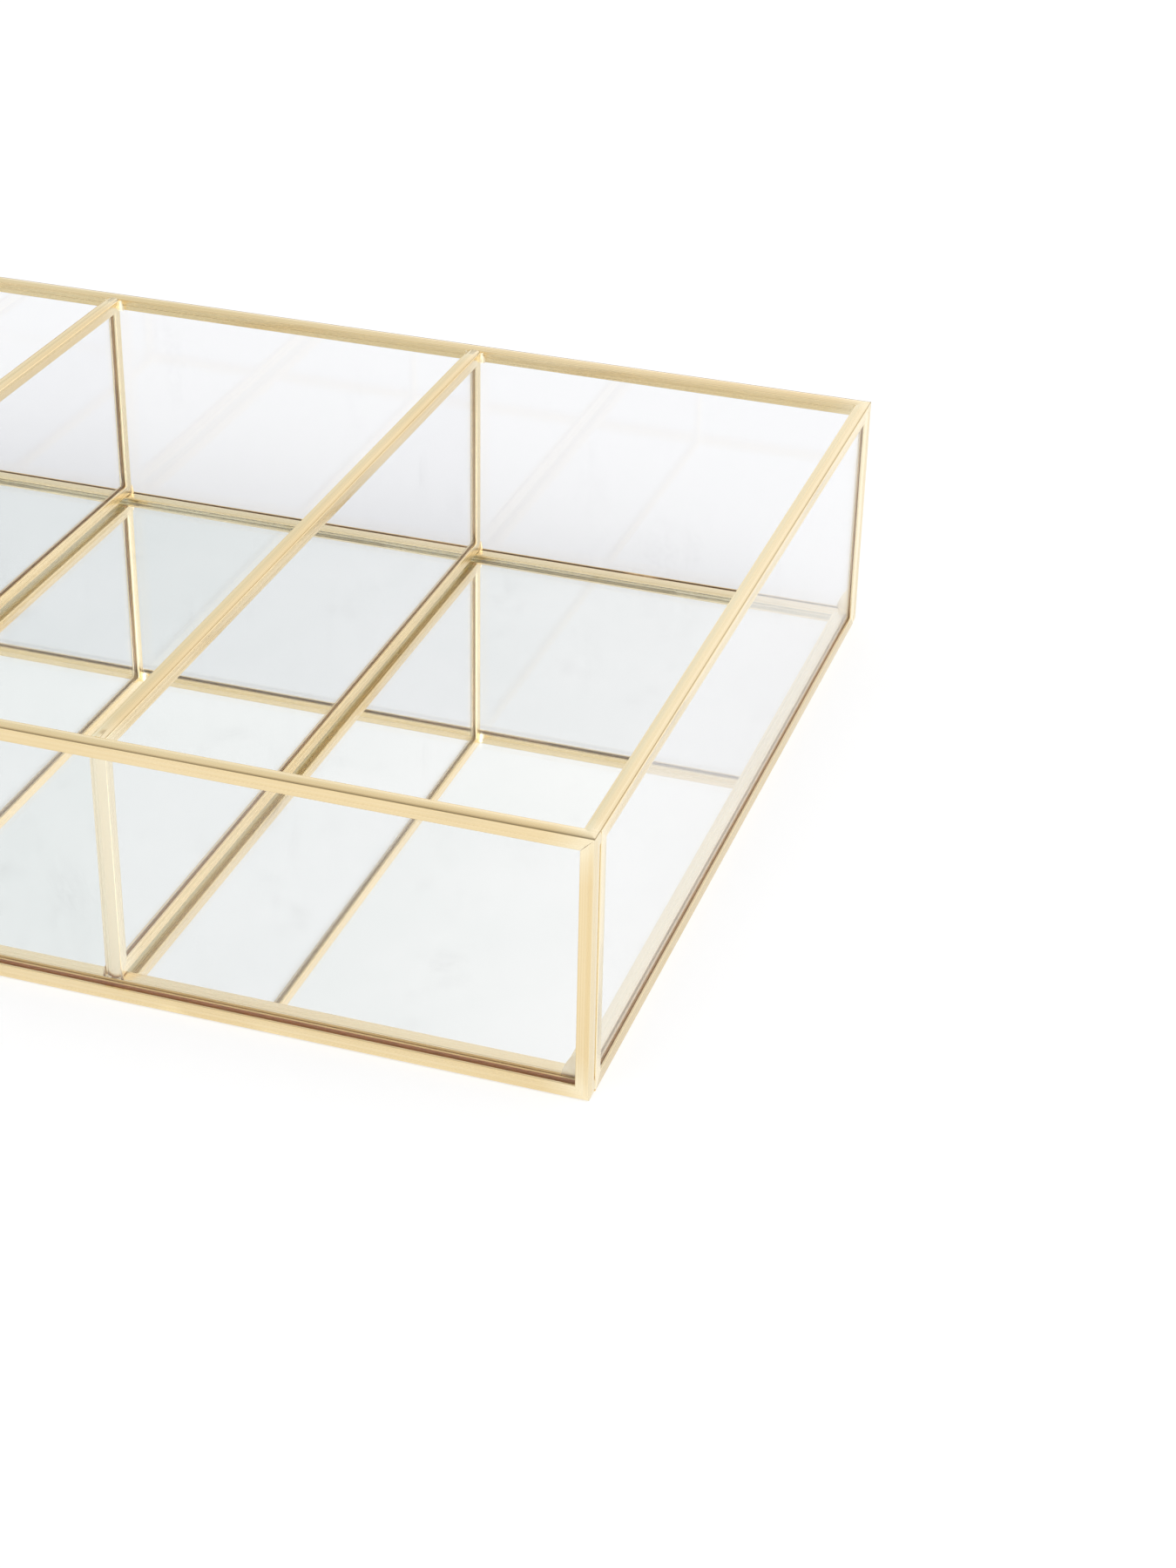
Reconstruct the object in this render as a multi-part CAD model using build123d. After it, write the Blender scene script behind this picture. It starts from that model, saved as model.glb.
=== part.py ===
from build123d import *
import os

# Open glass vanity tray: every pane is edged on its four sides in folded brass channel, and the
# framed panes are soldered to each other. Three straight bays run from front to back over a mirror.
# X runs along the tray, Y from front to back, Z up. The origin is the centre of the footprint.

# Outer size of the tray
TRAY_LENGTH = 256.0
TRAY_DEPTH = 183.0
TRAY_HEIGHT = 50.0

# Folded channel that edges every pane
SHEET = 0.45
FLANGE = 2.6
SLOT = 2.0
GLASS = 1.9
WEB = SLOT + 2 * SHEET
BEND_RADIUS = 0.25
MITRE_GAP = 0.05
EDGE_PLAY = 0.1

# Mirror panel on the floor of the tray
PANEL_BOTTOM = 0.3
PANEL_PLAY = 0.1
SILVER = 0.1
PAINT = 0.1
PANEL_TOP = PANEL_BOTTOM + WEB

# Dividers stand on the frame of the mirror panel
BAYS = 3
DIVIDER_DROP = 0.15
DIVIDER_HEIGHT = TRAY_HEIGHT - PANEL_TOP - DIVIDER_DROP

# Lumps of solder in the joints
BASE_JOINT = (2.6, 2.8, 5.0)
TOP_JOINT = 0.8
DIVIDER_JOINT = 1.0
JOINT_BAR = 2.2

INNER_LENGTH = TRAY_LENGTH - 2 * WEB
INNER_DEPTH = TRAY_DEPTH - 2 * WEB
DIVIDER_PITCH = (INNER_LENGTH + WEB) / BAYS


def channel_profile():
    """Section of the folded strip: web down, open side up, both outer bends rounded."""
    outside = Rectangle(WEB, FLANGE, align=(Align.CENTER, Align.MIN))
    bends = outside.vertices().sort_by(Axis.Y)[:2]
    outside = fillet(bends, BEND_RADIUS)
    slot = Rectangle(SLOT, FLANGE, align=(Align.CENTER, Align.MIN))
    return outside - Pos(0, SHEET) * slot


def channel(length):
    """One strip along X with its web on Z = 0 and both ends cut to 45 degrees."""
    strip = extrude(Plane.YZ * channel_profile(), amount=length / 2, both=True)
    end = length / 2 - MITRE_GAP / 2
    inner_end = end - FLANGE
    outline = Polyline((-end, 0), (end, 0), (inner_end, FLANGE), (-inner_end, FLANGE), close=True)
    mitres = extrude(Plane.XZ * make_face(outline), amount=WEB, both=True)
    return strip & mitres


def pane(length, height, thickness=GLASS):
    """Sheet that sits in the channels of a frame with the given outer size."""
    inset = SHEET + EDGE_PLAY
    on_edge = (Align.CENTER, Align.CENTER, Align.MIN)
    sheet = Box(length - 2 * inset, thickness, height - 2 * inset, align=on_edge)
    return Pos(0, 0, inset) * sheet


def frame(length, height):
    """Four mitred strips round an upright pane: bottom, top, and the posts at -X and +X."""
    along = channel(length)
    upright = channel(height)
    return {
        "bottom": along,
        "top": Pos(0, 0, height) * Rot(0, 180, 0) * along,
        "start": Pos(-length / 2, 0, height / 2) * Rot(0, 90, 0) * upright,
        "end": Pos(length / 2, 0, height / 2) * Rot(0, -90, 0) * upright,
    }


def wall(name, length, height, place, post_names):
    """A framed glass pane, as named pieces in the tray."""
    strips = frame(length, height)
    start_name, end_name = post_names
    return {
        f"{name}_glass": place * pane(length, height),
        f"{name}_bottom_rail": place * strips["bottom"],
        f"{name}_top_rail": place * strips["top"],
        f"{name}_{start_name}_post": place * strips["start"],
        f"{name}_{end_name}_post": place * strips["end"],
    }


def walls():
    """Front and rear walls run the full length and cover the ends of the side walls."""
    pieces = {}
    for name, side in (("front", -1), ("rear", 1)):
        place = Pos(0, side * (TRAY_DEPTH - WEB) / 2, 0)
        pieces.update(wall(name, TRAY_LENGTH, TRAY_HEIGHT, place, ("left", "right")))
    for name, side in (("left", -1), ("right", 1)):
        place = Pos(side * (TRAY_LENGTH - WEB) / 2, 0, 0) * Rot(0, 0, 90)
        pieces.update(wall(name, INNER_DEPTH, TRAY_HEIGHT, place, ("front", "rear")))
    return pieces


def dividers():
    """Two upright panes across the tray, from the front wall to the rear wall."""
    pieces = {}
    for name, side in (("left_divider", -1), ("right_divider", 1)):
        place = Pos(side * DIVIDER_PITCH / 2, 0, PANEL_TOP) * Rot(0, 0, 90)
        pieces.update(wall(name, INNER_DEPTH, DIVIDER_HEIGHT, place, ("front", "rear")))
    return pieces


def base_panel():
    """Mirror laid flat inside the walls: glass on top, then silver film, then back paint."""
    length = INNER_LENGTH - 2 * PANEL_PLAY
    depth = INNER_DEPTH - 2 * PANEL_PLAY
    strips = frame(length, depth)
    mirror_glass = GLASS - SILVER - PAINT
    paint_bottom = PANEL_BOTTOM + (WEB - GLASS) / 2
    silver_bottom = paint_bottom + PAINT
    glass_bottom = silver_bottom + SILVER

    def laid_flat(shape, middle):
        return Pos(0, -depth / 2, middle) * Rot(-90, 0, 0) * shape

    def layer(thickness, bottom):
        return laid_flat(pane(length, depth, thickness), bottom + thickness / 2)

    rail_middle = PANEL_BOTTOM + WEB / 2
    return {
        "base_front_rail": laid_flat(strips["bottom"], rail_middle),
        "base_rear_rail": laid_flat(strips["top"], rail_middle),
        "base_left_rail": laid_flat(strips["start"], rail_middle),
        "base_right_rail": laid_flat(strips["end"], rail_middle),
        "mirror_back_paint": layer(PAINT, paint_bottom),
        "mirror_silver": layer(SILVER, silver_bottom),
        "mirror_glass": layer(mirror_glass, glass_bottom),
    }


def corner_lump(size):
    """Solder filling a corner of three faces at the origin: a block cut off by one slanting plane."""
    x, y, z = size
    block = Box(x, y, z, align=Align.MIN)
    slant = Plane(origin=(x, 0, 0), z_dir=(1 / x, 1 / y, 1 / z))
    return split(block, bisect_by=slant, keep=Keep.BOTTOM)


def fillet_bar(leg, height):
    """Solder along an upright inside corner at the origin: a three-sided bar."""
    return extrude(make_face(Polyline((0, 0), (leg, 0), (0, leg), close=True)), amount=height)


def mirrored_to_corners(lump, corner):
    """The same lump in all four corners of a rectangle centred on the tray."""
    x, y, z = corner
    in_one = Pos(-x, -y, z) * lump
    left = [in_one, mirror(in_one, about=Plane.XZ)]
    return Compound(left + [mirror(piece, about=Plane.YZ) for piece in left])


def divider_joints(bottom):
    """Bars of solder on both sides of each divider, where it meets the front and rear walls."""
    bar = fillet_bar(DIVIDER_JOINT, JOINT_BAR)
    joints = []
    for centre in (-DIVIDER_PITCH / 2, DIVIDER_PITCH / 2):
        right = Pos(centre + WEB / 2, -INNER_DEPTH / 2, bottom) * bar
        left = Pos(centre - WEB / 2, -INNER_DEPTH / 2, bottom) * Rot(0, 0, 90) * bar
        joints += [right, left]
    return Compound(joints + [mirror(piece, about=Plane.XZ) for piece in joints])


def solder():
    """Solder at the base corners, the top corners and both ends of each divider."""
    glass_face = TRAY_DEPTH / 2 - (WEB + GLASS) / 2
    inner_x = INNER_LENGTH / 2
    inner_y = INNER_DEPTH / 2
    base_lump = corner_lump(BASE_JOINT)
    top_bar = fillet_bar(TOP_JOINT, JOINT_BAR)
    return {
        "base_corner_solder": mirrored_to_corners(base_lump, (inner_x, glass_face, PANEL_TOP)),
        "top_corner_solder": mirrored_to_corners(top_bar, (inner_x, inner_y, TRAY_HEIGHT - FLANGE)),
        "divider_top_solder": divider_joints(PANEL_TOP + DIVIDER_HEIGHT - FLANGE),
        "divider_foot_solder": divider_joints(PANEL_TOP),
    }


def main():
    os.makedirs("parts", exist_ok=True)
    pieces = {**walls(), **dividers(), **base_panel(), **solder()}
    for name, shape in pieces.items():
        shape.label = name
        export_step(shape, f"parts/{name}.step")


main()
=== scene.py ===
import math

import bmesh
import bpy
import numpy as np
from mathutils import Matrix, Vector


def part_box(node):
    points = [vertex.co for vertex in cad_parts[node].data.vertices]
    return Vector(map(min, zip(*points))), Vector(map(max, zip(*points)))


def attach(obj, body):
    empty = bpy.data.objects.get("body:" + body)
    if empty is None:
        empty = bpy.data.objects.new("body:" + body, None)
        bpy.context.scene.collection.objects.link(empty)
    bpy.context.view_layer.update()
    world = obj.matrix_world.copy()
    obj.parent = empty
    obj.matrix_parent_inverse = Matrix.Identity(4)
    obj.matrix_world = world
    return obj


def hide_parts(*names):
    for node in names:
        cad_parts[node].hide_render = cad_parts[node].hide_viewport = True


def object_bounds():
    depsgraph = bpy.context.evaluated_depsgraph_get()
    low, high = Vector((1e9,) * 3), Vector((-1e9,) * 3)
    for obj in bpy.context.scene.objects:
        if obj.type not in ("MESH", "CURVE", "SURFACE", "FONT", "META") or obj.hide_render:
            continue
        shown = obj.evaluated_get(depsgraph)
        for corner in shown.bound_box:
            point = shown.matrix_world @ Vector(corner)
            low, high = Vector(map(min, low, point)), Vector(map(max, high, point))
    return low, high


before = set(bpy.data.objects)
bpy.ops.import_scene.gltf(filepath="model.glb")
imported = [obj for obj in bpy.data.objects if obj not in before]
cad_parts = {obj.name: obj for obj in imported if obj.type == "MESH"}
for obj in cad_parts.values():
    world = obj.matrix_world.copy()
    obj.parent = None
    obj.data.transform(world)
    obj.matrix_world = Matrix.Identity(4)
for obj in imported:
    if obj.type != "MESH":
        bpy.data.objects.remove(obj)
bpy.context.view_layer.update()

MM = 0.001
X, Y, Z = range(3)
SEED = 7

# Section of the folded channel, in metres, as in the CAD
SHEET = 0.45 * MM
FLANGE = 2.6 * MM
WEB = 2.9 * MM

# Detail of the section that the CAD leaves plain
DOME_RISE = 0.18 * MM
FLAT_RISE = 0.03 * MM
CROWN_EDGE = 0.31 * MM
CROWN_STEPS = 12
GROOVE_PLACE = 0.25 * MM
GROOVE_HALF = 0.06 * MM
GROOVE_DEPTH = 0.1 * MM
BEND_RADIUS = 0.16 * MM
BEND_ANGLES = (0, 25, 45, 90)
TIP_RADIUS = 0.12 * MM
TIP_STEPS = 3

# Unevenness of the strips along their length
DENT = 0.1
WOBBLE = 0.02 * MM
WOBBLE_LENGTH = 25 * MM
FEWEST_KNOTS = 3
STATION_SPACING = 4 * MM
FEWEST_STATIONS = 4
FLAT_ENOUGH = 0.002 * MM
SHARP_ANGLE = math.radians(40)

# Ends of the strips. The CAD leaves a gap at each mitre. Here a mitre is shut for a share of its depth
# and then opens.
MITRE_GAP = 0.025 * MM
MITRE_OPENING = 0.09 * MM
MITRE_SHUT = 0.45
SEAM_GAP = 0.035 * MM
DIVIDER_REACH = 0.12 * MM

# Where the rounded end of a strip meets its mitre, at 45 degrees
BEND_START = DOME_RISE + BEND_RADIUS
BEND_SPAN = BEND_START + BEND_RADIUS
END_DEPTH = (BEND_SPAN - math.sqrt(BEND_SPAN ** 2 - 2 * BEND_START ** 2)) / 2

# Painted shade in the slots, a brown non-metallic film for the shade inside them: full in most panes, less
# in the panes named here, whose slots also get pale tin painted as light
FULL_SLOT_SHADE = 1.0
SLOT_SHADE_SHARE = {"base": 0.0, "left_divider": 0.3, "right_divider": 0.3, "rear": 0.4}

# Painted shade on the faces of the strips: a dark line in the creases of the top rails, an even darkening
# of the corner posts' webs, and darker flanges at the side walls' feet
DARK_CREASE = 0.9
FAINT_CREASE = 0.3
CREASE_PLACE = 0.2 * MM
CREASE_HALF = 0.18 * MM
POST_SHADE = 0.1
FOOT_SHADE = 0.25

# Plated solder on the faces of the strips: how much of a face it covers
LONG_BASE_TIN = 0.45
SHORT_BASE_TIN = 0.8
DIVIDER_POST_TIN = 1.0
DIVIDER_REAR_POST_TIN = 0.6
END_WALL_POST_TIN = 0.9
END_WALL_RAIL_TIN = 0.4
LONG_WALL_POST_TIN = 0.6
JOINT_TIN = 0.7
JOINT_SPREAD = 4 * MM

# Mirror glass: seamed edges, and a gap that keeps it off the silver
SILVER_GAP = 0.02 * MM
SEAM = 0.2 * MM
SEAM_STEPS = 2

# Solder in the joints: its legs, and the unevenness of its face
BASE_LUMP = (2.6 * MM, 2.8 * MM)
TOP_FILLET = (0.8 * MM, 0.8 * MM)
DIVIDER_FILLET = (1.0 * MM, 1.0 * MM)
FOOT_FILLET = (0.45 * MM, 1.0 * MM)
LUMPINESS = 0.06
FILLET_POINTS = 9
GLASS_CLEARANCE = 0.05 * MM

# Size of a lump over its height, as a share of its legs
HEAP_TIP = 0.06
HEAP_BODY = 0.94
HEAP_POWER = 1.6
STANDING_END = 0.55
STANDING_BODY = 0.45
STANDING_START = 0.25

# Colours of the materials
BRASS_PALE = (0.875, 0.72, 0.455, 1.0)
BRASS_DEEP = (0.82, 0.65, 0.37, 1.0)
# Brown film painted in the slots as the shade inside them
BRASS_SLOT_SHADE = (0.92, 0.41, 0.16, 1.0)
# Near-black painted shade for the creases, the corner posts and the side walls' feet
BRASS_SHADE = (0.16, 0.10, 0.045, 1.0)
BRASS_TIN = (0.97, 0.885, 0.665, 1.0)
SOLDER = ((1.0, 0.91, 0.70, 1.0), (0.96, 0.84, 0.60, 1.0))
# Darker copy of the solder for the divider feet: painted shade that tones down their glints
SHADED_SOLDER = ((0.91, 0.77, 0.54, 1.0), (0.84, 0.69, 0.46, 1.0))
SILVER = ((0.955, 0.962, 0.955, 1.0), (0.925, 0.938, 0.93, 1.0))
PAINT = ((0.15, 0.155, 0.16, 1.0), (0.25, 0.25, 0.245, 1.0))
FLOOR = ((0.41, 0.41, 0.41, 1.0), (0.44, 0.44, 0.44, 1.0))
HAZE = (0.82, 0.84, 0.85, 1.0)
WHITE = (1.0, 1.0, 1.0, 1.0)

# Noise of the materials, in waves per metre: the same all ways, or along and across a strip, or by axis
BRASS_LINES = (4.0, 2300.0)
BRASS_HAIRS = (12.0, 6000.0)
BRASS_PATCHES = 22.0
SOLDER_LUMPS = 500.0
SOLDER_GRAIN = 4000.0
GLASS_ROLL = 18.0
GLASS_WIPES = [60.0, 60.0, 25.0]
GLASS_SPECKS = 900.0
SILVER_CLOUDS = 35.0
SILVER_WAVES = 12.0
PAINT_PEEL = 900.0
PAINT_SCUFFS = [30.0, 160.0, 160.0]
FLOOR_MOTTLE = 9.0

# Roughness of the materials, from one side of their noise to the other
BRASS_ROUGHNESS = (0.2, 0.3)
SOLDER_ROUGHNESS = (0.3, 0.42)
SILVER_ROUGHNESS = (0.008, 0.02)
PAINT_ROUGHNESS = (0.5, 0.72)

# Glass: what its body lets through, how fast it absorbs the rest, and how it bends light
CLEAR_TINT = (0.40, 0.43, 0.53, 1.0)
MIRROR_TINT = (0.45, 0.60, 0.52, 1.0)
CLEAR_DENSITY = 32.0
REAR_DENSITY = 80.0
MIRROR_DENSITY = 7.0
GLASS_IOR = 1.51
GLASS_ROUGHNESS = 0.05
HAZE_COVER = 0.06

# Light of the studio. Each row has two limits of how far a direction faces along an axis, from -1 to 1,
# and the strengths at those limits.
LOW_GLOW = ((0.02, 0.36), (1.35, 1.04))
DIM_TOP = ((0.62, 0.94), (1.0, 0.6))
DIM_NEAR = ((-0.5, 0.1), (0.35, 1.0))
BRIGHT_RIGHT = ((0.2, 0.75), (1.0, 1.35))
SOFTBOX_GLOW = ((0.82, 0.92), (0.0, 2.0))
EVEN_LIGHT = ((-0.8, 0.8), (0.7, 1.44))
FLOOR_GLOW = 0.56

# Its colours and where they blend
COOL_LIGHT = (0.82, 0.85, 0.845, 1.0)
MAIN_LIGHT = (1.04, 1.025, 1.02, 1.0)
WARM_LIGHT = (1.0, 0.95, 0.87, 1.0)
COOL_TO_MAIN = (-0.5, -0.12)
MAIN_TO_WARM = (0.6, 0.85)

# Directions of the softbox, high on the right, and of the brighter half of the even light
SOFTBOX = (0.82, -0.26, 0.51)
LIT_SIDE = (0.6, -0.8, 0.0)

# Floor, a hair below the tray
FLOOR_HALF = 6.0
FLOOR_DROP = 0.05 * MM

# Camera: azimuth, angle down and roll in degrees, and place from the front right foot of the tray in
# heights of the tray
CAMERA_ANGLES = (-17.52, 30.43, 1.315)
CAMERA_PLACE = (2.255, -7.240, 5.651)
SENSOR_WIDTH = 36.0
LENS = 66.6
CLIP_START = 0.01
CLIP_END = 60.0

LONG_WALLS = ("front", "rear")
END_WALLS = ("left", "right")
DIVIDERS = ("left_divider", "right_divider")
PANES = LONG_WALLS + END_WALLS + DIVIDERS + ("base",)
RAIL_ENDINGS = ("_rail", "_post")


# ---------------------------------------------------------------- node helpers


class Nodes:
    """Short way to add linked shader nodes to a node tree."""

    def __init__(self, tree):
        self.tree = tree
        tree.nodes.clear()

    def add(self, kind, inputs=None, **settings):
        node = self.tree.nodes.new(kind)
        for name, value in settings.items():
            setattr(node, name, value)
        for name, value in (inputs or {}).items():
            self.put(node, name, value)
        return node

    def put(self, node, name, value):
        if isinstance(value, bpy.types.NodeSocket):
            self.tree.links.new(value, node.inputs[name])
        else:
            node.inputs[name].default_value = value

    def math(self, operation, first, second=0.0, clamp=False):
        node = self.add("ShaderNodeMath", {0: first, 1: second}, operation=operation, use_clamp=clamp)
        return node.outputs[0]

    def attribute(self, name):
        return self.add("ShaderNodeAttribute", attribute_name=name).outputs["Fac"]

    def noise(self, frequency, detail=2.0, roughness=0.5):
        """Noise over the object, with its frequency per metre: one number, or one for each axis."""
        frequencies = frequency if isinstance(frequency, list) else [frequency] * 3
        place = self.add("ShaderNodeTexCoord").outputs["Object"]
        stretched = self.add("ShaderNodeVectorMath", {0: place, 1: frequencies}, operation="MULTIPLY")
        inputs = {"Vector": stretched.outputs[0], "Scale": 1.0, "Detail": detail, "Roughness": roughness}
        return self.add("ShaderNodeTexNoise", inputs).outputs["Fac"]

    def ramp(self, value, limits, levels=(0.0, 1.0)):
        """Smooth step from the first level to the second between two limits of a value."""
        (low, high), (out_low, out_high) = limits, levels
        inputs = {"Value": value, "From Min": low, "From Max": high, "To Min": out_low, "To Max": out_high}
        return self.add("ShaderNodeMapRange", inputs, interpolation_type="SMOOTHSTEP").outputs["Result"]

    def mix(self, factor, first, second):
        node = self.add("ShaderNodeMix", data_type="RGBA")
        for index, value in ((0, factor), (6, first), (7, second)):
            self.put(node, index, value)
        return node.outputs[2]

    def facing(self, direction, axis):
        """How far a direction faces along an axis, from -1 to 1."""
        node = self.add("ShaderNodeVectorMath", {0: direction, 1: axis}, operation="DOT_PRODUCT")
        return node.outputs[1]

    def bump(self, height, strength, distance):
        node = self.add("ShaderNodeBump", {"Height": height, "Strength": strength, "Distance": distance})
        return node.outputs[0]

    def finish(self, inputs):
        """Principled surface as the output of the material."""
        shader = self.add("ShaderNodeBsdfPrincipled", inputs)
        self.add("ShaderNodeOutputMaterial", {"Surface": shader.outputs[0]})


def new_material(name):
    material = bpy.data.materials.new(name)
    material.use_nodes = True
    return material, Nodes(material.node_tree)


# ------------------------------------------------------------------- materials


def drawn(axis, along, across):
    """Frequencies on the three axes of lines that run along one of them."""
    return [along if other == axis else across for other in (X, Y, Z)]


def brass_material(axis):
    """Drawn brass strip: long fine lines along the given axis, over broad soft patches.

    The strips' own attributes add a brown film painted as shade in the slots, plated solder with pale tin
    painted as light in some slots, and painted shade in the top rails' creases, on the corner posts and on
    the side walls' feet.
    """
    material, nodes = new_material(f"brass_along_{'xyz'[axis]}")
    lines = nodes.noise(drawn(axis, *BRASS_LINES), roughness=0.55)
    hairs = nodes.noise(drawn(axis, *BRASS_HAIRS), detail=1.0)
    patches = nodes.noise(BRASS_PATCHES, detail=1.0)
    tone = nodes.math("ADD", nodes.math("MULTIPLY", lines, 0.65), nodes.math("MULTIPLY", patches, 0.35))
    gold = nodes.mix(nodes.ramp(tone, (0.36, 0.64)), BRASS_PALE, BRASS_DEEP)
    # Painted shade: a brown, non-metallic film in the slots
    slot_shade = nodes.attribute("slot_shade")
    film = nodes.math("MULTIPLY", slot_shade, nodes.ramp(lines, (0.2, 0.8), (1.0, 0.8)), clamp=True)
    # Pale tin: plated solder on faces and joints, and painted light in the slots of some panes
    tin_and_slot_light = nodes.attribute("tin_and_slot_light")
    cover = nodes.math("MULTIPLY", tin_and_slot_light, nodes.ramp(tone, (0.3, 0.7), (1.0, 0.8)), clamp=True)
    # Painted shade: a dark line in the top rails' creases, and darkening on the corner posts and the side
    # walls' feet
    painted_shade = nodes.attribute("painted_shade")
    shade_amount = nodes.math("MULTIPLY", painted_shade, nodes.ramp(hairs, (0.3, 0.7), (0.75, 1.0)))
    gold_and_tin = nodes.mix(cover, gold, BRASS_TIN)
    clean = nodes.mix(shade_amount, gold_and_tin, BRASS_SHADE)
    colour = nodes.mix(film, clean, BRASS_SLOT_SHADE)
    metallic = nodes.math("SUBTRACT", 1.0, film, clamp=True)
    rough = nodes.ramp(lines, (0.3, 0.7), BRASS_ROUGHNESS)
    height = nodes.math("ADD", lines, nodes.math("MULTIPLY", hairs, 0.3))
    skin_bump = nodes.bump(height, strength=0.04, distance=0.02 * MM)
    nodes.finish({"Base Color": colour, "Roughness": rough, "Normal": skin_bump, "Metallic": metallic})
    return material


def solder_material(name, colours):
    """Plated solder: a lumpy, slightly dull skin."""
    material, nodes = new_material(name)
    lumps = nodes.noise(SOLDER_LUMPS)
    grain = nodes.noise(SOLDER_GRAIN)
    colour = nodes.mix(nodes.ramp(lumps, (0.35, 0.7)), *colours)
    rough = nodes.ramp(grain, (0.3, 0.7), SOLDER_ROUGHNESS)
    height = nodes.math("ADD", lumps, nodes.math("MULTIPLY", grain, 0.1))
    skin_bump = nodes.bump(height, strength=0.2, distance=0.08 * MM)
    nodes.finish({"Base Color": colour, "Roughness": rough, "Normal": skin_bump, "Metallic": 0.9})
    return material


def glass_material(name, tint, density):
    """Clear sheet glass: absorbs a little, rolls very slightly, and carries faint wiping marks."""
    material, nodes = new_material(name)
    roll = nodes.noise(GLASS_ROLL, detail=1.0)
    roll_bump = nodes.bump(roll, strength=0.04, distance=0.2 * MM)
    wiped = nodes.noise(GLASS_WIPES, detail=5.0, roughness=0.65)
    specks = nodes.noise(GLASS_SPECKS, roughness=0.6)
    marks = nodes.ramp(wiped, (0.56, 0.78))
    film = nodes.math("MULTIPLY", marks, nodes.ramp(specks, (0.3, 0.8), (0.3, 1.0)))
    clear = nodes.add(
        "ShaderNodeBsdfPrincipled",
        {
            "Base Color": WHITE,
            "Roughness": nodes.math("MULTIPLY", film, GLASS_ROUGHNESS),
            "IOR": GLASS_IOR,
            "Transmission Weight": 1.0,
            "Normal": roll_bump,
        },
    )
    haze = nodes.add("ShaderNodeBsdfTranslucent", {"Color": HAZE})
    cover = nodes.math("MULTIPLY", film, HAZE_COVER)
    surface = nodes.add("ShaderNodeMixShader", {0: cover, 1: clear.outputs[0], 2: haze.outputs[0]})
    body = nodes.add("ShaderNodeVolumeAbsorption", {"Color": tint, "Density": density})
    nodes.add("ShaderNodeOutputMaterial", {"Surface": surface.outputs[0], "Volume": body.outputs[0]})
    return material


def silver_material():
    """Silver film behind the mirror glass, with faint cloudy patches."""
    material, nodes = new_material("mirror_silver_film")
    cloud = nodes.noise(SILVER_CLOUDS, detail=4.0)
    colour = nodes.mix(nodes.ramp(cloud, (0.3, 0.75)), *SILVER)
    rough = nodes.ramp(cloud, (0.3, 0.8), SILVER_ROUGHNESS)
    waves = nodes.noise(SILVER_WAVES, detail=1.0)
    wave_bump = nodes.bump(waves, strength=0.02, distance=0.1 * MM)
    nodes.finish({"Base Color": colour, "Roughness": rough, "Normal": wave_bump, "Metallic": 1.0})
    return material


def paint_material():
    """Matt grey paint on the back of the mirror, with an orange-peel skin and scuffs."""
    material, nodes = new_material("mirror_back_paint_coat")
    peel = nodes.noise(PAINT_PEEL, detail=3.0)
    scuffs = nodes.noise(PAINT_SCUFFS, detail=5.0, roughness=0.7)
    colour = nodes.mix(nodes.ramp(scuffs, (0.55, 0.8)), *PAINT)
    rough = nodes.ramp(scuffs, (0.3, 0.8), PAINT_ROUGHNESS)
    peel_bump = nodes.bump(peel, strength=0.3, distance=0.05 * MM)
    nodes.finish({"Base Color": colour, "Roughness": rough, "Normal": peel_bump})
    return material


def floor_material():
    """Pale matt floor of a light table, softly lit from below, with a very faint mottle."""
    material, nodes = new_material("studio_floor")
    mottle = nodes.noise(FLOOR_MOTTLE, detail=3.0)
    nodes.finish({
        "Base Color": nodes.mix(mottle, *FLOOR),
        "Roughness": 0.9,
        "Emission Color": WHITE,
        "Emission Strength": FLOOR_GLOW,
        "Specular IOR Level": 0.1,
    })
    return material


# ---------------------------------------------------------------- mesh helpers


def make_object(name, vertices, faces, material, marks=None):
    """Visible piece from a list of vertices and faces. Marks are amounts at each vertex, by name."""
    mesh = bpy.data.meshes.new(name)
    mesh.from_pydata([tuple(v) for v in vertices], [], faces)
    mesh.validate()
    mesh.materials.append(material)
    for mark, amounts in (marks or {}).items():
        values = mesh.attributes.new(mark, "FLOAT", "POINT")
        values.data.foreach_set("value", np.asarray(amounts, np.float32))
    mesh.shade_smooth()
    mesh.set_sharp_from_angle(angle=SHARP_ANGLE)
    mesh.update()
    piece = bpy.data.objects.new(name, mesh)
    bpy.context.scene.collection.objects.link(piece)
    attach(piece, "root")
    return piece


def skin(rings, size, depths):
    """Faces of a closed tube of rings, with both ends closed. A bent quad is folded along its crease."""
    faces = []
    for ring in range(rings - 1):
        for index in range(size):
            following = (index + 1) % size
            a, b = ring * size + index, ring * size + following
            c, d = b + size, a + size
            one, other = abs(depths[a] - depths[c]), abs(depths[b] - depths[d])
            if abs(depths[a] + depths[c] - depths[b] - depths[d]) < FLAT_ENOUGH:
                faces.append((a, b, c, d))
            elif one > other:
                faces += [(a, b, c), (a, c, d)]
            else:
                faces += [(a, b, d), (b, c, d)]
    faces.append(tuple(range(size)))
    faces.append(tuple(range((rings - 1) * size, rings * size))[::-1])
    return faces


def fix_normals(piece):
    work = bmesh.new()
    work.from_mesh(piece.data)
    bmesh.ops.recalc_face_normals(work, faces=work.faces)
    work.to_mesh(piece.data)
    work.free()


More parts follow.
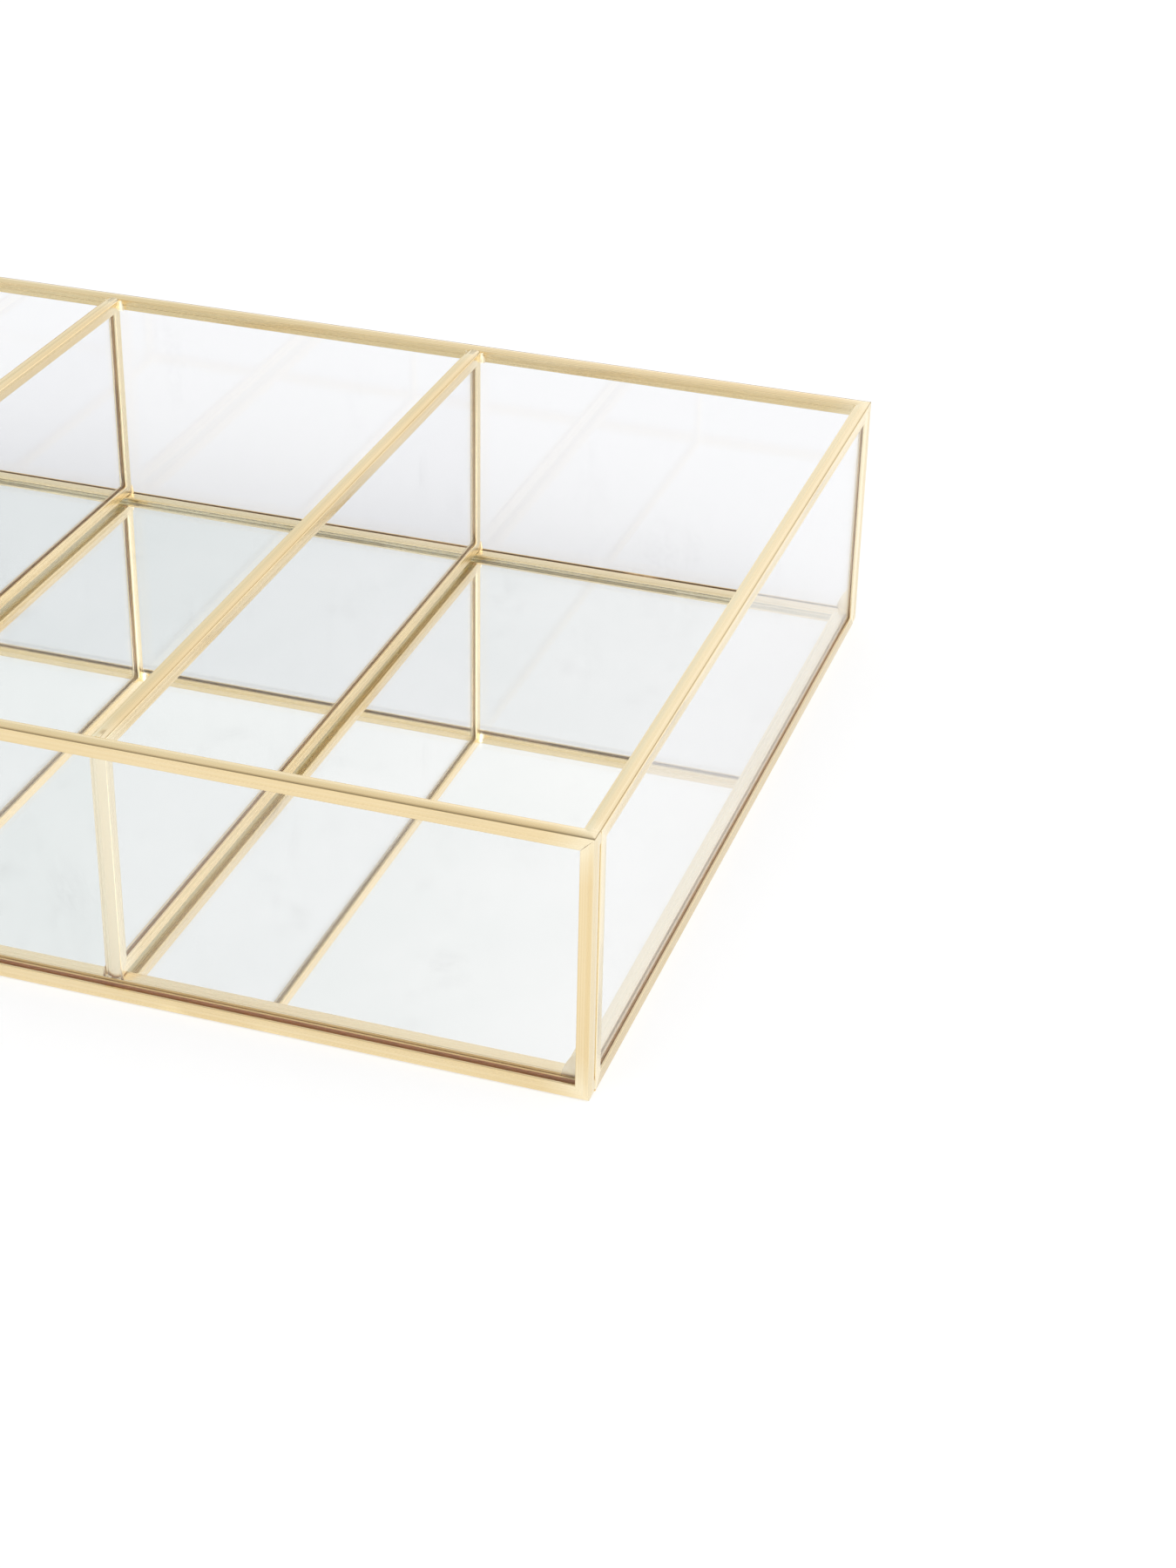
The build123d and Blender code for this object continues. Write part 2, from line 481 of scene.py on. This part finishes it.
def smooth_noise(stations, random):
    """Gentle random curve over the stations, which fades out at both ends."""
    knots = max(FEWEST_KNOTS, int((stations[-1] - stations[0]) / WOBBLE_LENGTH))
    values = np.concatenate([[0.0], random.uniform(-1.0, 1.0, knots), [0.0]])
    place = (stations - stations[0]) / (stations[-1] - stations[0]) * (knots + 1)
    low = np.floor(place).astype(int).clip(0, knots)
    share = place - low
    share = share * share * (3 - 2 * share)
    return values[low] * (1 - share) + values[low + 1] * share


# ------------------------------------------------------- section of the channel


def arc(centre, radius, start, stop, steps):
    """Points on an arc of the section, from start to stop in degrees."""
    angles = np.radians(np.linspace(start, stop, steps + 1))
    return [(centre[0] + radius * math.cos(a), centre[1] + radius * math.sin(a)) for a in angles]


def crown_depth(place, groove, rise):
    """Depth of the web's outer face at a distance from its outer edge: bend, groove, low crown, bend."""
    edge = min(place, WEB - place)
    crown = WEB / 2 - CROWN_EDGE
    depth = rise * min(1.0, ((place - WEB / 2) / crown) ** 2)
    depth += groove * max(0.0, 1.0 - abs(place - GROOVE_PLACE) / GROOVE_HALF)
    if edge < BEND_RADIUS:
        depth += BEND_RADIUS - math.sqrt(BEND_RADIUS ** 2 - (BEND_RADIUS - edge) ** 2)
    return depth


def web_places():
    """Where the web is sampled, from its outer edge to its inner edge."""
    bend = [BEND_RADIUS * (1 - math.cos(math.radians(angle))) for angle in BEND_ANGLES]
    edge = sorted(bend + [END_DEPTH, GROOVE_PLACE - GROOVE_HALF, GROOVE_PLACE, CROWN_EDGE])
    crown = np.linspace(CROWN_EDGE, WEB - CROWN_EDGE, CROWN_STEPS + 1)[1:-1]
    return edge + list(crown) + [WEB - place for place in reversed(edge)]


def tip_points(edge, inward):
    """Flange from below the bend over its rounded tip to the mouth of the slot, as (place, depth)."""
    tip = [(0.0, BEND_START + TIP_RADIUS / 4)]
    tip += arc((TIP_RADIUS, FLANGE - TIP_RADIUS), TIP_RADIUS, 180, 90, TIP_STEPS)
    tip.append((SHEET - TIP_RADIUS / 3, FLANGE))
    return [(edge + inward * place, depth) for place, depth in tip]


def slot_points(edge, inward):
    """Wall of the slot from its mouth to its floor."""
    wall = [(SHEET, FLANGE - TIP_RADIUS / 3), (SHEET, SHEET)]
    return [(edge + inward * place, depth) for place, depth in wall]


def section_outline():
    """Once round the section as (kind of face, place, depth). The web gets its depth from its crown."""
    outline = [("slot", place, depth) for place, depth in reversed(slot_points(0.0, 1.0))]
    outline += [("flange", place, depth) for place, depth in reversed(tip_points(0.0, 1.0))]
    outline += [("web", place, 0.0) for place in web_places()]
    outline += [("flange", place, depth) for place, depth in tip_points(WEB, -1.0)]
    outline += [("slot", place, depth) for place, depth in slot_points(WEB, -1.0)]
    return outline


# ------------------------------------------------------------------- the strips


def pane_centre(name):
    glass = "mirror_glass" if name == "base" else f"{name}_glass"
    low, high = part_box(glass)
    return np.array(low + high) / 2


def rails_of(name):
    """CAD nodes of the four strips round a pane."""
    found = []
    for node in sorted(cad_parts):
        owner, _, part = node.rpartition("_")
        owner = owner.rpartition("_")[0]
        if owner == name and node.endswith(RAIL_ENDINGS):
            found.append(node)
    return found


def rail_axes(node, centre_of_pane):
    """Length, across and outward axes of a rail, from its box and the centre of its pane."""
    low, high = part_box(node)
    size = np.array(high - low)
    centre = np.array(high + low) / 2
    along = int(size.argmax())
    rest = [axis for axis in range(3) if axis != along]
    offset = centre - centre_of_pane
    out = max(rest, key=lambda axis: abs(offset[axis]))
    across = next(axis for axis in rest if axis != out)
    return along, across, out, math.copysign(1.0, offset[out])


def mitre_opening(depth):
    """How far a mitre stands open at a depth: shut at the corner, open towards the pane."""
    share = min(1.0, max(0.0, (depth / FLANGE - MITRE_SHUT) / (1 - MITRE_SHUT)))
    return MITRE_OPENING * share


class Rail:
    """One folded strip: where it lies, how its ends are cut, and what is painted on its faces: solder, and
    painted shade and light.

    The strips of the front and rear walls run to the corners of the tray. There the crown of the web
    turns the corner with the crown of the side wall's strip, along the diagonal of the corner. The web of
    a side wall's or divider's rail runs right up to the front and rear strips.
    """

    def __init__(self, node, pane):
        low, high = (np.array(corner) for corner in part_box(node))
        centre_of_pane = pane_centre(pane)
        self.node = node
        self.pane = pane
        self.along, self.across, self.out, self.sign = rail_axes(node, centre_of_pane)
        self.upright = self.along == Z
        self.on_top = node.endswith("top_rail")
        self.middle = (high + low) / 2
        self.half = (high[self.along] - low[self.along]) / 2 + MITRE_GAP
        self.outer = math.copysign(1.0, centre_of_pane[self.across])
        self.web_face = high[self.out] if self.sign > 0 else low[self.out]
        if self.upright and pane in END_WALLS:
            self.web_face -= self.sign * SEAM_GAP
        self.turns_corner = pane in LONG_WALLS
        self.butts = not self.turns_corner and pane != "base" and not self.upright
        self.reach = DIVIDER_REACH if pane in DIVIDERS else 0.0
        self.groove = GROOVE_DEPTH if self.on_top else 0.0
        self.rise = FLAT_RISE if pane == "base" else DOME_RISE

    def stations(self):
        """Where the section is repeated: closely round a corner, and evenly between the corners."""
        inner_half = self.half - WEB - END_DEPTH
        count = max(FEWEST_STATIONS, int(2 * inner_half / STATION_SPACING))
        between = list(np.linspace(-inner_half, inner_half, count))
        near = [place - END_DEPTH for place in web_places() if place >= END_DEPTH]
        ends = [self.half - step for step in near] if self.turns_corner else [self.half]
        return np.array([-end for end in ends] + between + ends[::-1])

    def turned(self, place, station):
        """Distance of a place on the web from the outer rim, which turns the corner of the tray."""
        if not self.turns_corner:
            return place
        return min(place, self.half - abs(station) + END_DEPTH)

    def inset(self, kind, depth, station):
        """How far the end of the strip is cut back at a depth."""
        if self.turns_corner:
            inset = max(depth, END_DEPTH)
        else:
            inset = -self.reach if kind == "web" and self.butts else depth
        if self.turns_corner and (self.on_top or (self.upright and station > 0)):
            inset += mitre_opening(depth)
        return inset

    def vertex(self, kind, place, depth, station, grow):
        """Position in the tray. The outer flange's edge is pushed outwards by grow."""
        position = np.zeros(3)
        inset = self.inset(kind, depth, station)
        position[self.along] = self.middle[self.along] + station * (1 - inset / self.half)
        position[self.across] = self.middle[self.across] + self.outer * (WEB / 2 - place)
        if kind == "flange" and place < SHEET:
            position[self.across] -= self.outer * max(0.0, grow)
        position[self.out] = self.web_face - self.sign * depth
        return position

    # Brown film painted in the slots as the shade inside them
    def slot_shade(self, kind):
        return SLOT_SHADE_SHARE.get(self.pane, FULL_SLOT_SHADE) if kind == "slot" else 0.0

    def face_tin(self, kind):
        """Share of a web or flange that plated solder covers."""
        if self.pane == "base":
            return LONG_BASE_TIN if self.along == X else SHORT_BASE_TIN
        if self.pane in DIVIDERS:
            if self.node.endswith("rear_post"):
                return DIVIDER_REAR_POST_TIN
            return DIVIDER_POST_TIN if self.upright else 0.0
        if self.pane in LONG_WALLS:
            return LONG_WALL_POST_TIN if self.upright and kind == "web" else 0.0
        return END_WALL_POST_TIN if self.upright else END_WALL_RAIL_TIN

    def tin(self, kind, station):
        """Pale tin at a station: plated solder on the face and round the joint at the end, and in the slots
        of some panes pale tin painted as light that lifts their shade.
        """
        # Pale tin in the slots of these panes is painted light that lifts their shade
        if kind == "slot":
            return 1.0 if self.pane in SLOT_SHADE_SHARE else 0.0
        from_end = self.half - abs(station)
        return max(self.face_tin(kind), JOINT_TIN * math.exp(-(from_end / JOINT_SPREAD) ** 2))

    def painted_shade(self, kind, place, turned):
        """Painted shade: a dark line in the crease of the top rails, an even darkening on corner posts, and
        darker flanges at the side walls' feet.
        """
        if kind == "flange":
            is_foot = self.pane in END_WALLS and self.along == Y and not self.on_top
            return FOOT_SHADE if is_foot else 0.0
        if kind == "web" and self.groove:
            crease = DARK_CREASE if self.turns_corner and turned == place else FAINT_CREASE
            return crease * max(0.0, 1.0 - ((turned - CREASE_PLACE) / CREASE_HALF) ** 2)
        if kind == "web" and self.turns_corner and self.upright:
            return POST_SHADE
        return 0.0


def build_rail(node, pane, materials, random):
    """Folded strip with a crowned web and mitred ends, as one closed mesh in place of the CAD's."""
    rail = Rail(node, pane)
    stations = rail.stations()
    dents = 1 + smooth_noise(stations, random) * DENT
    swell = smooth_noise(stations, random) * WOBBLE
    outline = section_outline()
    vertices = []
    depths = []
    marks = {"slot_shade": [], "tin_and_slot_light": [], "painted_shade": []}
    for station, dent, grow in zip(stations, dents, swell):
        for kind, place, depth in outline:
            turned = rail.turned(place, station)
            if kind == "web":
                depth = crown_depth(turned, rail.groove, rail.rise) * dent
            vertices.append(rail.vertex(kind, place, depth, station, grow))
            depths.append(depth)
            marks["slot_shade"].append(rail.slot_shade(kind))
            marks["tin_and_slot_light"].append(rail.tin(kind, station))
            marks["painted_shade"].append(rail.painted_shade(kind, place, turned))
    faces = skin(len(stations), len(outline), depths)
    brass = materials["brass"][rail.along]
    piece = make_object(f"{node}_strip", vertices, faces, brass, marks)
    fix_normals(piece)
    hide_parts(node)


def build_rails(materials):
    random = np.random.default_rng(SEED)
    for name in PANES:
        for node in rails_of(name):
            build_rail(node, name, materials, random)


# ------------------------------------------------------ mirror glass and solder


def build_mirror_glass(material):
    """Glass of the mirror with seamed edges, a hair above the silver film."""
    low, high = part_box("mirror_glass")
    low.z += SILVER_GAP
    size = high - low
    centre = (low + high) / 2
    work = bmesh.new()
    bmesh.ops.create_cube(work, size=1.0)
    for vertex in work.verts:
        vertex.co = Vector(a * b for a, b in zip(vertex.co, size)) + centre
    bmesh.ops.bevel(work, geom=work.edges[:], offset=SEAM, segments=SEAM_STEPS, affect="EDGES")
    vertices = [vertex.co.copy() for vertex in work.verts]
    faces = [[vertex.index for vertex in face.verts] for face in work.faces]
    work.free()
    piece = make_object("mirror_glass_sheet", vertices, faces, material)
    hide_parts("mirror_glass")


def heaped(share):
    """Size of a lump that is widest at its foot and almost closes at its tip."""
    return HEAP_TIP + HEAP_BODY * (1 - share ** HEAP_POWER)


def standing(share):
    """Size of a fillet that is fullest a quarter of the way up and thinnest over its top quarter."""
    return STANDING_END + STANDING_BODY * math.sin(math.pi * min(1.0, STANDING_START + share))


def fillet_rings(legs, height, steps, shape, hollow, random):
    """Rings of a lump of solder in an inside corner at the origin, with an uneven face.

    The face is a round hollow at 1 and flat at 0.
    """
    rings = []
    turns = np.radians(np.linspace(0, 90, FILLET_POINTS))
    for share in np.linspace(0, 1, steps):
        size = shape(share)
        level = share * height
        ring = [(0.0, 0.0, level)]
        for turn in turns:
            lump = 1 + random.uniform(-LUMPINESS, LUMPINESS) * math.sin(2 * turn)
            part = turn / turns[-1]
            across = hollow * math.sin(turn) + (1 - hollow) * part
            along = hollow * math.cos(turn) + (1 - hollow) * (1 - part)
            first_leg = legs[0] * size * (1 - across * lump)
            second_leg = legs[1] * size * (1 - along * lump)
            ring.append((first_leg, second_leg, level))
        rings.append(ring)
    return rings


def add_lump(vertices, faces, rings, corner, directions):
    """Put one lump in its corner and add it to the mesh being built."""
    start = len(vertices)
    size = len(rings[0])
    for ring in rings:
        for point in ring:
            vertices.append([c + d * p for c, d, p in zip(corner, directions, point)])
    flat = [0.0] * (size * len(rings))
    faces.extend(tuple(start + index for index in face) for face in skin(len(rings), size, flat))


def box_corners(node):
    """Corners of a node of solder, clear of the glass, as (x, y, inward x, inward y)."""
    low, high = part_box(node)
    ends = ((low.y + GLASS_CLEARANCE, 1.0), (high.y - GLASS_CLEARANCE, -1.0))
    return [(x, y, side, end) for x, side in ((low.x, 1.0), (high.x, -1.0)) for y, end in ends]


def divider_corners():
    """Corners on both sides of each divider, at the front and the rear wall, as box_corners gives them."""
    corners = []
    for divider in DIVIDERS:
        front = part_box(f"{divider}_front_post")
        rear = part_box(f"{divider}_rear_post")
        for x, side in ((front[0].x, -1.0), (front[1].x, 1.0)):
            corners += [(x, front[0].y, side, 1.0), (x, rear[1].y, side, -1.0)]
    return corners


def build_solder(materials):
    """Solder in the joints: lumps at the base corners, fillets at the top corners and dividers."""
    random = np.random.default_rng(SEED + 1)

    def build(node, legs, corners, shape, steps, hollow, finish="solder"):
        low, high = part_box(node)
        vertices, faces = [], []
        for x, y, side, end in corners:
            rings = fillet_rings(legs, high.z - low.z, steps, shape, hollow, random)
            add_lump(vertices, faces, rings, (x, y, low.z), (side, end, 1.0))
        piece = make_object(f"{node}_lumps", vertices, faces, materials[finish])
        fix_normals(piece)
        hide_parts(node)

    base_corners = box_corners("base_corner_solder")
    top_corners = box_corners("top_corner_solder")
    ends = divider_corners()
    build("base_corner_solder", BASE_LUMP, base_corners, heaped, steps=12, hollow=0.0)
    build("top_corner_solder", TOP_FILLET, top_corners, standing, steps=6, hollow=1.0)
    # The divider feet get the darker solder, painted shade that tones down their glints
    build("divider_foot_solder", FOOT_FILLET, ends, heaped, steps=8, hollow=0.9, finish="foot_solder")
    build("divider_top_solder", DIVIDER_FILLET, ends, standing, steps=6, hollow=1.0)


# ------------------------------------------------------------------- the scene


def dress_cad(materials):
    """Materials for the CAD nodes.

    The panes, the silver and the paint stay in sight. Everything else is replaced by a finer piece.
    """
    finishes = {
        "mirror_glass": materials["mirror_glass"],
        "mirror_silver": materials["silver"],
        "mirror_back_paint": materials["paint"],
        "rear_glass": materials["rear_glass"],
    }
    for node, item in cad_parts.items():
        if node in finishes:
            finish = finishes[node]
        elif node.endswith("_glass"):
            finish = materials["glass"]
        elif node.endswith("_solder"):
            finish = materials["solder"]
        else:
            finish = materials["brass"][X]
        item.data.materials.clear()
        item.data.materials.append(finish)


def add_floor(material):
    half = FLOOR_HALF
    corners = [(-half, -half, 0.0), (half, -half, 0.0), (half, half, 0.0), (-half, half, 0.0)]
    mesh = bpy.data.meshes.new("studio_floor")
    mesh.from_pydata(corners, [], [(0, 1, 2, 3)])
    mesh.materials.append(material)
    floor = bpy.data.objects.new("studio_floor", mesh)
    floor.location.z = -FLOOR_DROP
    bpy.context.scene.collection.objects.link(floor)


def add_world():
    """White studio tent: brightest low down behind the tray and on its right, dim behind the camera.

    The floor and other matt surfaces are lit evenly from all round.
    """
    world = bpy.data.worlds.new("studio")
    world.use_nodes = True
    bpy.context.scene.world = world
    nodes = Nodes(world.node_tree)
    direction = nodes.add("ShaderNodeTexCoord").outputs["Generated"]
    parts = nodes.add("ShaderNodeSeparateXYZ", {0: direction})
    aside, behind, up = parts.outputs
    low = nodes.ramp(up, *LOW_GLOW)
    high = nodes.ramp(up, *DIM_TOP)
    near = nodes.ramp(behind, *DIM_NEAR)
    right = nodes.ramp(aside, *BRIGHT_RIGHT)
    strength = nodes.math("MULTIPLY", nodes.math("MULTIPLY", low, high), nodes.math("MAXIMUM", near, right))
    softbox = nodes.ramp(nodes.facing(direction, SOFTBOX), *SOFTBOX_GLOW)
    strength = nodes.math("ADD", strength, softbox)
    cool = nodes.mix(nodes.ramp(aside, COOL_TO_MAIN), COOL_LIGHT, MAIN_LIGHT)
    colour = nodes.mix(nodes.ramp(up, MAIN_TO_WARM), cool, WARM_LIGHT)
    shiny = nodes.add("ShaderNodeBackground", {"Color": colour, "Strength": strength})
    round_about = nodes.ramp(nodes.facing(direction, LIT_SIDE), *EVEN_LIGHT)
    even = nodes.add("ShaderNodeBackground", {"Color": WHITE, "Strength": round_about})
    matt = nodes.add("ShaderNodeLightPath").outputs["Diffuse Depth"]
    light = nodes.add(
        "ShaderNodeMixShader",
        {0: nodes.math("MINIMUM", matt, 1.0), 1: shiny.outputs[0], 2: even.outputs[0]},
    )
    nodes.add("ShaderNodeOutputWorld", {"Surface": light.outputs[0]})


def add_camera(low, high):
    """Close view down on the front right corner, from the right of it."""
    height = high[2] - low[2]
    corner = Vector((high[0], low[1], low[2]))
    data = bpy.data.cameras.new("camera")
    data.sensor_width = SENSOR_WIDTH
    data.lens = LENS
    data.clip_start = CLIP_START
    data.clip_end = CLIP_END
    camera = bpy.data.objects.new("camera", data)
    azimuth, down, roll = (math.radians(angle) for angle in CAMERA_ANGLES)
    level = math.cos(down)
    forward = Vector((math.sin(azimuth) * level, math.cos(azimuth) * level, -math.sin(down)))
    camera.rotation_mode = "QUATERNION"
    upright = forward.to_track_quat("-Z", "Y")
    camera.rotation_quaternion = Matrix.Rotation(-roll, 3, forward).to_quaternion() @ upright
    camera.location = corner + height * Vector(CAMERA_PLACE)
    bpy.context.scene.collection.objects.link(camera)
    bpy.context.scene.camera = camera


def set_light_paths():
    """Enough bounces for a look through several panes and into the mirror."""
    settings = bpy.context.scene
    settings.view_settings.view_transform = "Standard"
    settings.cycles.max_bounces = 40
    settings.cycles.transmission_bounces = 32
    settings.cycles.glossy_bounces = 16
    settings.cycles.transparent_max_bounces = 16


def main():
    materials = {
        "brass": [brass_material(axis) for axis in (X, Y, Z)],
        "solder": solder_material("plated_solder", SOLDER),
        "foot_solder": solder_material("shaded_foot_solder", SHADED_SOLDER),
        "glass": glass_material("clear_sheet_glass", CLEAR_TINT, CLEAR_DENSITY),
        "rear_glass": glass_material("clear_rear_glass", CLEAR_TINT, REAR_DENSITY),
        "mirror_glass": glass_material("mirror_sheet_glass", MIRROR_TINT, MIRROR_DENSITY),
        "silver": silver_material(),
        "paint": paint_material(),
    }
    low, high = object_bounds()
    add_camera(low, high)
    add_world()
    add_floor(floor_material())
    dress_cad(materials)
    build_mirror_glass(materials["mirror_glass"])
    build_rails(materials)
    build_solder(materials)
    set_light_paths()


main()
